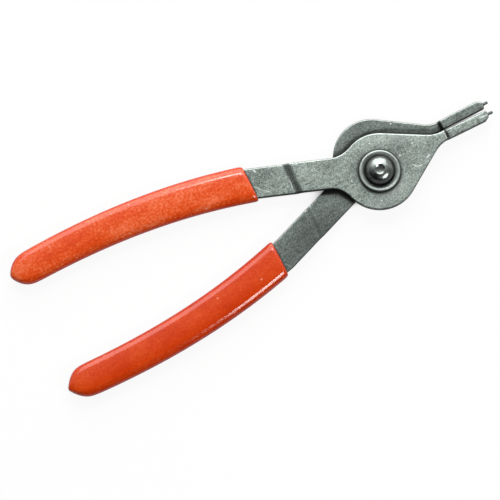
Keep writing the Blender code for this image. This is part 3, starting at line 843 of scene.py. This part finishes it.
@dataclass
class Grip(Piece):
    """A dipped grip: a skin that follows the tang, rounded over its toe, with a rolled mouth."""

    blank: Blank
    mouth: float
    toe_wall: float
    toe_power: float
    handle: Handle = field(default_factory=Handle)
    half_depth: float = 3.2 * MM
    shoulder: float = 3.0 * MM
    shoulder_drop: float = 1.2 * MM
    corner: float = 1.5 * MM
    crown: float = 0.30 * MM
    wall: float = 1.46 * MM
    rim: float = 0.45 * MM
    fit: float = 0.34 * MM
    plate: float = 3.2 * MM
    toe: float = 9.0 * MM
    drift: float = 0.45 * MM
    tang_corner: float = 5.3 * MM
    stations: int = 14

    def build(self) -> Item:
        """Builds and dresses the grip.

        Returns:
            The grip.
        """
        Bench.clear()
        half = self._half(self.mouth)
        flat = self.half_depth - self.crown
        bpy.ops.mesh.primitive_plane_add(size=2, rotation=(0, math.pi / 2, 0))
        piece = bpy.context.view_layer.objects.active
        piece.name = piece.data.name = self.node + "_dipped"
        stretch = self.shoulder / self.shoulder_drop
        piece.scale = (flat, half / stretch, 1)
        Bench.settle(piece)
        with Bench.editing(piece):
            bpy.ops.mesh.select_all(action="SELECT")
            bpy.ops.mesh.bevel(affect="VERTICES", offset=self.shoulder_drop, segments=1)
            bpy.ops.mesh.select_all(action="SELECT")
            bpy.ops.transform.resize(value=(1, stretch, 1), center_override=(0, 0, 0))
            Bench.pick(piece, Part.VERTS, lambda co, _: abs(co.y) > half - 0.01 * MM)
            bpy.ops.mesh.bevel(affect="VERTICES", offset=self.corner, segments=3, profile=0.5)
            Bench.pick(piece, Part.EDGES,
                       lambda co, _: half - self.shoulder < abs(co.y) < half - self.corner)
            bpy.ops.mesh.subdivide(number_cuts=2)
            Bench.pick(piece, Part.EDGES, lambda co, _: abs(co.y) < 1e-6)
            bpy.ops.mesh.subdivide(number_cuts=3)
            Bench.pick(piece, Part.VERTS, lambda co, _: abs(co.y) < 0.6 * (half - self.shoulder))
            bpy.ops.transform.resize(value=(1, 1, 1 + 0.75 * self.crown / flat), center_override=(0, 0, 0))
            Bench.pick(piece, Part.VERTS, lambda co, _: abs(co.y) < 1e-6)
            bpy.ops.transform.resize(value=(1, 1, self.half_depth / (flat + 0.75 * self.crown)),
                                     center_override=(0, 0, 0))
            bpy.ops.mesh.select_all(action="SELECT")
            bpy.ops.transform.translate(value=self._middle(self.mouth))
            bpy.ops.mesh.select_mode(type="FACE")
            bpy.ops.mesh.select_all(action="SELECT")
            self._follow(self.mouth, (half, 1.0), self._outside())
            Bench.pick(piece, Part.FACES, lambda co, _: abs(co.x - self.mouth) < 1e-6)
            bpy.ops.transform.resize(value=(1, 1 - self.rim / half, 1 - self.rim / self.half_depth),
                                     center_override=self._middle(self.mouth))
            bpy.ops.mesh.inset(thickness=0.35 * MM)
            bpy.ops.mesh.inset(thickness=self.wall - self.fit - self.rim - 0.50 * MM)
            tang = self.handle.width(self.mouth) / 2 * self.handle.lean(self.mouth)
            self._follow(self.mouth, (tang + self.fit + 0.15 * MM, self.plate / 2 + self.fit + 0.15 * MM),
                         self._inside())
            bpy.ops.mesh.select_all(action="SELECT")
            bpy.ops.mesh.normals_make_consistent(inside=False)
        Bench.modify(piece, "SUBSURF", levels=2, render_levels=2)
        self.blank.place(piece)
        Bench.smooth(piece, 60)
        return self.wear(piece)

    def _middle(self, x: float) -> Vector:
        """The middle of the handle at x."""
        return Vector((x, self.handle.height(x), 0))

    def _half(self, x: float) -> float:
        """Half the grip's height along Y at x."""
        return (self.handle.width(x) / 2 + self.wall) * self.handle.lean(x)

    def _tang_half(self, x: float) -> float:
        """Half the tang's height along Y at x, round its end's corners too."""
        half = self.handle.width(x) / 2 * self.handle.lean(x)
        over = self.handle.end + self.tang_corner - x
        if over > 0:
            half += math.sqrt(max(0.0, self.tang_corner**2 - over**2)) - self.tang_corner
        return half

    def _follow(self, x: float, size: Point, rings: Sequence[Ring]) -> None:
        """Extrudes the selected face from ring to ring.

        Args:
            x: Where the selected face is.
            size: Its half height and half depth, in any unit that the rings share.
            rings: The x, half height, half depth and drift outwards of each ring.
        """
        here, (wide, deep) = self._middle(x), size
        for x, new_wide, new_deep, drift in rings:
            there = self._middle(x) + Vector((0, drift, 0))
            bpy.ops.mesh.extrude_region_move(TRANSFORM_OT_translate={"value": there - here})
            bpy.ops.transform.resize(value=(1, new_wide / wide, new_deep / deep), center_override=there)
            here, wide, deep = there, new_wide, new_deep

    def _outside(self) -> list[Ring]:
        """The rings of the skin, from the mouth to the rounded toe."""
        heel = self.handle.end - self.fit - self.toe_wall + self.toe
        start = self.mouth - 3 * MM
        path = [self.mouth - 0.9 * MM, start]
        path += [start + (heel - start) * i / self.stations for i in range(1, self.stations + 1)]
        rings = [(x, self._half(x), 1.0, 0.0) for x in path]
        for share in (0.30, 0.52, 0.70, 0.84, 0.94, 0.985):
            half = self._half(heel) * (1 - share**2) ** (1 / self.toe_power)
            deep = (1 - share**3.5) ** (1 / 3.5)
            full = 1 + 0.05 * share**2
            rings.append((heel - self.toe * share, half * full, deep, self.drift * share**2))
        return rings

    def _inside(self) -> list[Ring]:
        """The rings of the cavity round the tang, from the mouth to its closed end."""
        end = self.handle.end
        heel = end + self.tang_corner
        start = self.mouth - 0.6 * MM
        path = [start]
        path += [start + (heel - start) * i / self.stations for i in range(1, self.stations + 1)]
        path += [end + self.tang_corner * share for share in (0.62, 0.3, 0.1, 0.02)]
        deep = self.plate / 2 + self.fit
        rings = [(x, self._tang_half(x) + self.fit, deep, 0.0) for x in path]
        rings.append((end - self.fit, 0.7 * MM, deep * 0.8, 0.0))
        return rings


@dataclass
class Turned(Piece):
    """A piece turned from a profile about the pivot axis, with its edges broken."""

    profile: Sequence[Point]
    edge: float = 0.2 * MM

    def build(self) -> Item:
        """Builds and dresses the piece.

        Returns:
            The piece.
        """
        piece = Bench.turn(self.node + "_turned", self.profile)
        Bench.modify(piece, "BEVEL", width=self.edge, segments=3, limit_method="ANGLE",
                     angle_limit=math.radians(30))
        Bench.smooth(piece, 35)
        return self.wear(piece)


@dataclass
class TipPin(Piece):
    """A tip pin: hardened wire with a rounded end, pressed into the end of a finger."""

    blank: Blank
    start: float = 45.7 * MM
    end: float = 52.9 * MM
    height: float = 1.61 * MM
    radius: float = 0.6 * MM
    tip: float = 0.35 * MM

    def build(self) -> Item:
        """Builds and dresses the pin.

        Returns:
            The pin.
        """
        length = self.end - self.start
        profile = [(0.0, 0.0), (self.radius, 0.0), (self.radius, length - self.tip)]
        for turn in (30, 60, 90):
            angle = math.radians(turn)
            profile.append((self.radius - self.tip * (1 - math.cos(angle)),
                            length - self.tip * (1 - math.sin(angle))))
        profile.append((0.0, length + 0.01 * MM))
        piece = Bench.turn(self.node + "_ground", profile, steps=40)
        piece.matrix_world = Matrix.Translation((self.start, self.height, 0)) @ Matrix.Rotation(
            math.pi / 2, 4, "Y")
        Bench.settle(piece)
        self.blank.place(piece)
        Bench.smooth(piece, 40)
        return self.wear(piece)


@dataclass
class ReturnSpring(Piece):
    """The coil spring under the button, which in the real tool shortens as the button is pressed."""

    foot: float = 6.5 * MM
    keep: float = 0.576

    def build(self, nodes: dict[str, Item]) -> Item:
        """Builds and dresses the spring.

        Args:
            nodes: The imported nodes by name.

        Returns:
            The spring.
        """
        piece = Bench.copy_node(nodes[self.node], self.node + "_coil")
        Bench.smooth(piece, 60)
        self.wear(piece)
        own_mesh(piece)
        return piece


@dataclass
class Pivot:
    """The push-button pivot: the flanged bush, the domed button and the stepped plunger."""

    bush_steel: TurnedSteel
    button_steel: TurnedSteel
    plunger_steel: TurnedSteel
    dome_radius: float = 5.8 * MM
    dome_shoulder: float = 11.9 * MM
    dome_rise: float = 3.4 * MM
    dome_power: float = 2.5
    dimple: float = 2.1 * MM
    dimple_depth: float = 0.55 * MM
    seam: float = 1.42 * MM

    def build(self) -> None:
        """Builds and dresses the three pieces."""
        bush = [(2.4, 5.2), (7.3, 5.2), (7.3, 8.7), (8.65, 8.7), (8.65, 9.7), (8.57, 10.0), (8.35, 10.22),
                (8.05, 10.3), (7.75, 10.27), (6.1, 9.85), (6.1, 6.2), (2.4, 6.2)]
        plunger = [(0, 0), (5.8, 0), (5.8, 1.4), (3.7, 1.4), (3.7, 3.9), (2.1, 3.9), (2.1, 12.4),
                   (1.3, 12.4), (1.3, 13.8), (1.38, 14.0), (1.38, 14.93), (1.0, 14.81), (0.6, 14.74),
                   (0, 14.7)]
        pieces = (
            Turned("pivot_bush", Body.FRONT, "turned_steel", self.bush_steel,
                   [(r * MM, z * MM) for r, z in bush], edge=0.12 * MM),
            Turned("push_button", Body.BUTTON, "blackened_button", self.button_steel, self._dome(),
                   edge=0.05 * MM),
            Turned("pivot_plunger", Body.BUTTON, "blackened_button", self.plunger_steel,
                   [(r * MM, z * MM) for r, z in plunger], edge=0.05 * MM),
        )
        for piece in pieces:
            piece.build()

    def _dome(self) -> list[Point]:
        """The button's profile: skirt, dome, the shallow dish of the dimple and the plunger's bore."""
        points = [(1.6 * MM, 12.7 * MM), (4.7 * MM, 12.7 * MM), (4.7 * MM, 9.0 * MM),
                  (self.dome_radius, 9.0 * MM)]
        last = math.acos((self.dimple / self.dome_radius) ** (self.dome_power / 2))
        for step in range(19):
            angle = last * step / 18
            points.append((self.dome_radius * math.cos(angle) ** (2 / self.dome_power),
                           self.dome_shoulder + self.dome_rise * math.sin(angle) ** (2 / self.dome_power)))
        lip = points[-1][1]
        for share in (0.92, 0.8, self.seam / self.dimple):
            points.append((self.dimple * share, lip - self.dimple_depth * (1 - share**2)))
        points.append((self.seam, 14.0 * MM))
        points.append((1.6 * MM, 13.8 * MM))
        return points


@dataclass
class Studio:
    """The photo's stage: a pale floor, a leaning long lens, a soft key light and a strip light."""

    target: Vector = field(default_factory=lambda: Vector((-62.2, -5.45, 8.4)) * MM)
    turn: float = math.radians(26.5)
    lean: float = math.radians(7.0)
    distance: float = 2.5
    field_size: float = 0.205
    floor_show: float = 0.08

    @property
    def right(self) -> Vector:
        """The image's right in the frame."""
        return Vector((math.cos(self.turn), -math.sin(self.turn), 0))

    @property
    def up(self) -> Vector:
        """The image's up in the frame."""
        return Vector((math.sin(self.turn), math.cos(self.turn), 0))

    def build(self) -> None:
        """Builds the floor, the world, the camera and the lights."""
        self._floor()
        self._world(0.62)
        self._camera()
        self._light("key", 2.1, (0.20, 0.20), (-0.02, 0.52), 0.0)
        self._light("softbox", 9.7, (1.10, 1.00), (-0.02, 0.80), 0.0)
        self._light("strip", 3.1, (0.34, 0.18), (0.51, -0.363), 42.0)

    def _aim(self, thing: Item, place: Vector) -> None:
        """Puts a light or the camera at a place, turned to the target with the image's up."""
        back = (place - self.target).normalized()
        high = (self.up - back * self.up.dot(back)).normalized()
        turn = Matrix((high.cross(back), high, back)).transposed().to_4x4()
        thing.matrix_world = Matrix.Translation(place) @ turn

    def _camera(self) -> None:
        """Adds the camera with a long lens, leaning to the image's bottom."""
        bpy.ops.object.camera_add()
        camera = bpy.context.view_layer.objects.active
        camera.name = "camera_main"
        camera.data.sensor_width = 36
        camera.data.lens = 36 * self.distance / self.field_size
        camera.data.clip_start = 0.05
        camera.data.clip_end = 20
        back = Vector((0, 0, math.cos(self.lean))) - self.up * math.sin(self.lean)
        self._aim(camera, self.target + back * self.distance)
        bpy.context.scene.camera = camera

    def _light(self, name: str, power: float, size: Point, side: Point, roll: float) -> None:
        """Adds an area light at one metre from the target.

        Args:
            name: The light's name.
            power: Its power in watts.
            size: Its width and height in metres.
            side: How far it stands to the image's right and to its top, in metres.
            roll: How far its width is turned from the image's right, in degrees.
        """
        right, up = side
        rise = Vector((0, 0, math.sqrt(1 - right * right - up * up)))
        bpy.ops.object.light_add(type="AREA")
        light = bpy.context.view_layer.objects.active
        light.name = "light_" + name
        light.data.shape = "RECTANGLE"
        light.data.size, light.data.size_y = size
        light.data.energy = power
        self._aim(light, self.target + self.right * right + self.up * up + rise)
        light.matrix_world = light.matrix_world @ Matrix.Rotation(math.radians(roll), 4, "Z")

    def _world(self, peak: float) -> None:
        """Fills the world as in a booth: a pale wall at the image's top, a black one at its bottom.

        Args:
            peak: The strength of the pale wall.
        """
        world = bpy.data.worlds.new("studio")
        world.use_nodes = True
        tree = world.node_tree
        bearing = add_node(tree, "VectorMath", {0: add_node(tree, "TexCoord").outputs["Generated"],
                                                1: self.up}, operation="DOT_PRODUCT")
        place = add_node(tree, "MapRange", {"Value": bearing.outputs["Value"], "From Min": -1.0})
        ramp = add_node(tree, "ValToRGB", {"Fac": place.outputs["Result"]})
        set_stops(ramp, (0.40, "#1A1A1A"), (0.48, "#606060"), (0.55, "#B0B0B0"), (0.70, "#FFFFFF"))
        background = tree.nodes["Background"]
        tree.links.new(ramp.outputs["Color"], background.inputs["Color"])
        background.inputs["Strength"].default_value = peak
        bpy.context.scene.world = world

    def _floor(self) -> None:
        """Lays a plain pale floor under the tool."""
        Bench.clear()
        bpy.ops.mesh.primitive_plane_add(size=6)
        floor = bpy.context.view_layer.objects.active
        floor.name = "floor"
        material = bpy.data.materials.new("floor_paper")
        material.use_nodes = True
        tree = material.node_tree
        shader = tree.nodes["Principled BSDF"]
        shader.inputs["Base Color"].default_value = linear("#F4F4F2")
        shader.inputs["Roughness"].default_value = 0.9
        # The photo's ground is blown out: the eye sees white paper with only a trace of shadow, which
        # is deep just in the slit between the fingers
        paths = add_node(tree, "LightPath").outputs
        slit = add_node(tree, "AmbientOcclusion", {"Distance": 9 * MM}, samples=24)
        deep = add_node(tree, "MapRange", {"Value": slit.outputs["AO"], "From Min": 0.20,
                                           "From Max": 0.44, "To Min": 0.02})
        seen = add_node(tree, "Math", {0: paths["Is Camera Ray"], 1: paths["Is Glossy Ray"]},
                        operation="MAXIMUM")
        seen = add_node(tree, "Math", {0: seen.outputs[0], 1: paths["Is Transmission Ray"]},
                        operation="MAXIMUM")
        share = add_node(tree, "Math", {0: seen.outputs[0], 1: 1 - self.floor_show}, operation="MULTIPLY")
        # A reflection shows the shade that the tool throws on the paper beside it
        shade = add_node(tree, "MapRange", {"Value": slit.outputs["AO"], "From Min": 0.5, "To Min": 0.1})
        show = add_node(tree, "Mix", {0: paths["Is Glossy Ray"], 2: deep.outputs[0], 3: shade.outputs[0]})
        white = add_node(tree, "Emission", {"Color": linear("#FFFFFF"), "Strength": show.outputs[0]})
        mix = add_node(tree, "MixShader", {0: share.outputs[0], 1: shader.outputs[0],
                                           2: white.outputs[0]})
        tree.links.new(mix.outputs[0], tree.nodes["Material Output"].inputs["Surface"])
        floor.data.materials.append(material)
        floor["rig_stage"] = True


def write_size(name: str, record: dict[str, list[list[float]]]) -> None:
    record[name] = [[float(value) for value in corner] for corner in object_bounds()]


def main() -> None:
    """Dresses the pliers and sets the stage."""
    logging.basicConfig(level=logging.INFO, format="%(name)s: %(message)s")
    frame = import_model()
    sizes: dict[str, list[list[float]]] = {}
    write_size("cad", sizes)
    scene = bpy.context.scene
    scene.view_settings.view_transform = "Standard"
    nodes = frame["nodes"]
    front_steel = ForgedSteel("steel_front", light="#ADBAB2", mid="#7F8983", dark="#565F59",
                              marks=FRONT_MARKS)
    back_steel = ForgedSteel("steel_back", light="#838E87", mid="#636C67", dark="#434A46",
                             marks=BACK_MARKS)
    front_vinyl = DippedVinyl("vinyl_front", body="#E1531E", deep="#D54110", bloom="#F07A50",
                              shaded_flank="#BE280B", grain=0.6)
    back_vinyl = DippedVinyl("vinyl_back", body="#D03E0A", deep="#C53506", bloom="#DA511D",
                             shaded_flank="#B8220A", grain=0.45)
    pin_steel = TurnedSteel("steel_pin", skin="#4C514E", bare="#8F9893", roughness=0.36)
    bush_steel = TurnedSteel("steel_bush", skin="#A0A9A4", bare="#D3DAD6", roughness=0.40,
                             black_skin_and_shade=0.9)
    button_steel = TurnedSteel("steel_button", skin="#868D89", bare="#C3C9C5", roughness=0.24,
                               black_skin_and_shade=0.96)
    plunger_steel = TurnedSteel("steel_plunger", skin="#4A4F4C", bare="#7C827F", roughness=0.42)
    Lever("front_lever", Body.FRONT, "forged_steel", front_steel).build(nodes)
    Lever("back_lever", Body.BACK, "forged_steel_back", back_steel).build(nodes)
    Grip("front_grip", Body.FRONT, "dipped_vinyl", front_vinyl, Blank(False), mouth=-49.7 * MM,
         toe_wall=2.7 * MM, toe_power=1.35).build()
    Grip("back_grip", Body.BACK, "dipped_vinyl_back", back_vinyl, Blank(True), mouth=-52.8 * MM,
         toe_wall=2.4 * MM, toe_power=1.1).build()
    TipPin("front_tip_pin", Body.FRONT, "hardened_pin", pin_steel, Blank(False)).build()
    TipPin("back_tip_pin", Body.BACK, "hardened_pin", pin_steel, Blank(True)).build()
    Pivot(bush_steel, button_steel, plunger_steel).build()
    ReturnSpring("return_spring", Body.FRONT, "spring_steel",
                 DrawnWire("wire", "#B9BDC0", 0.3)).build(nodes)
    Studio().build()
    write_size("dressed", sizes)


if __name__ == "__main__":
    main()
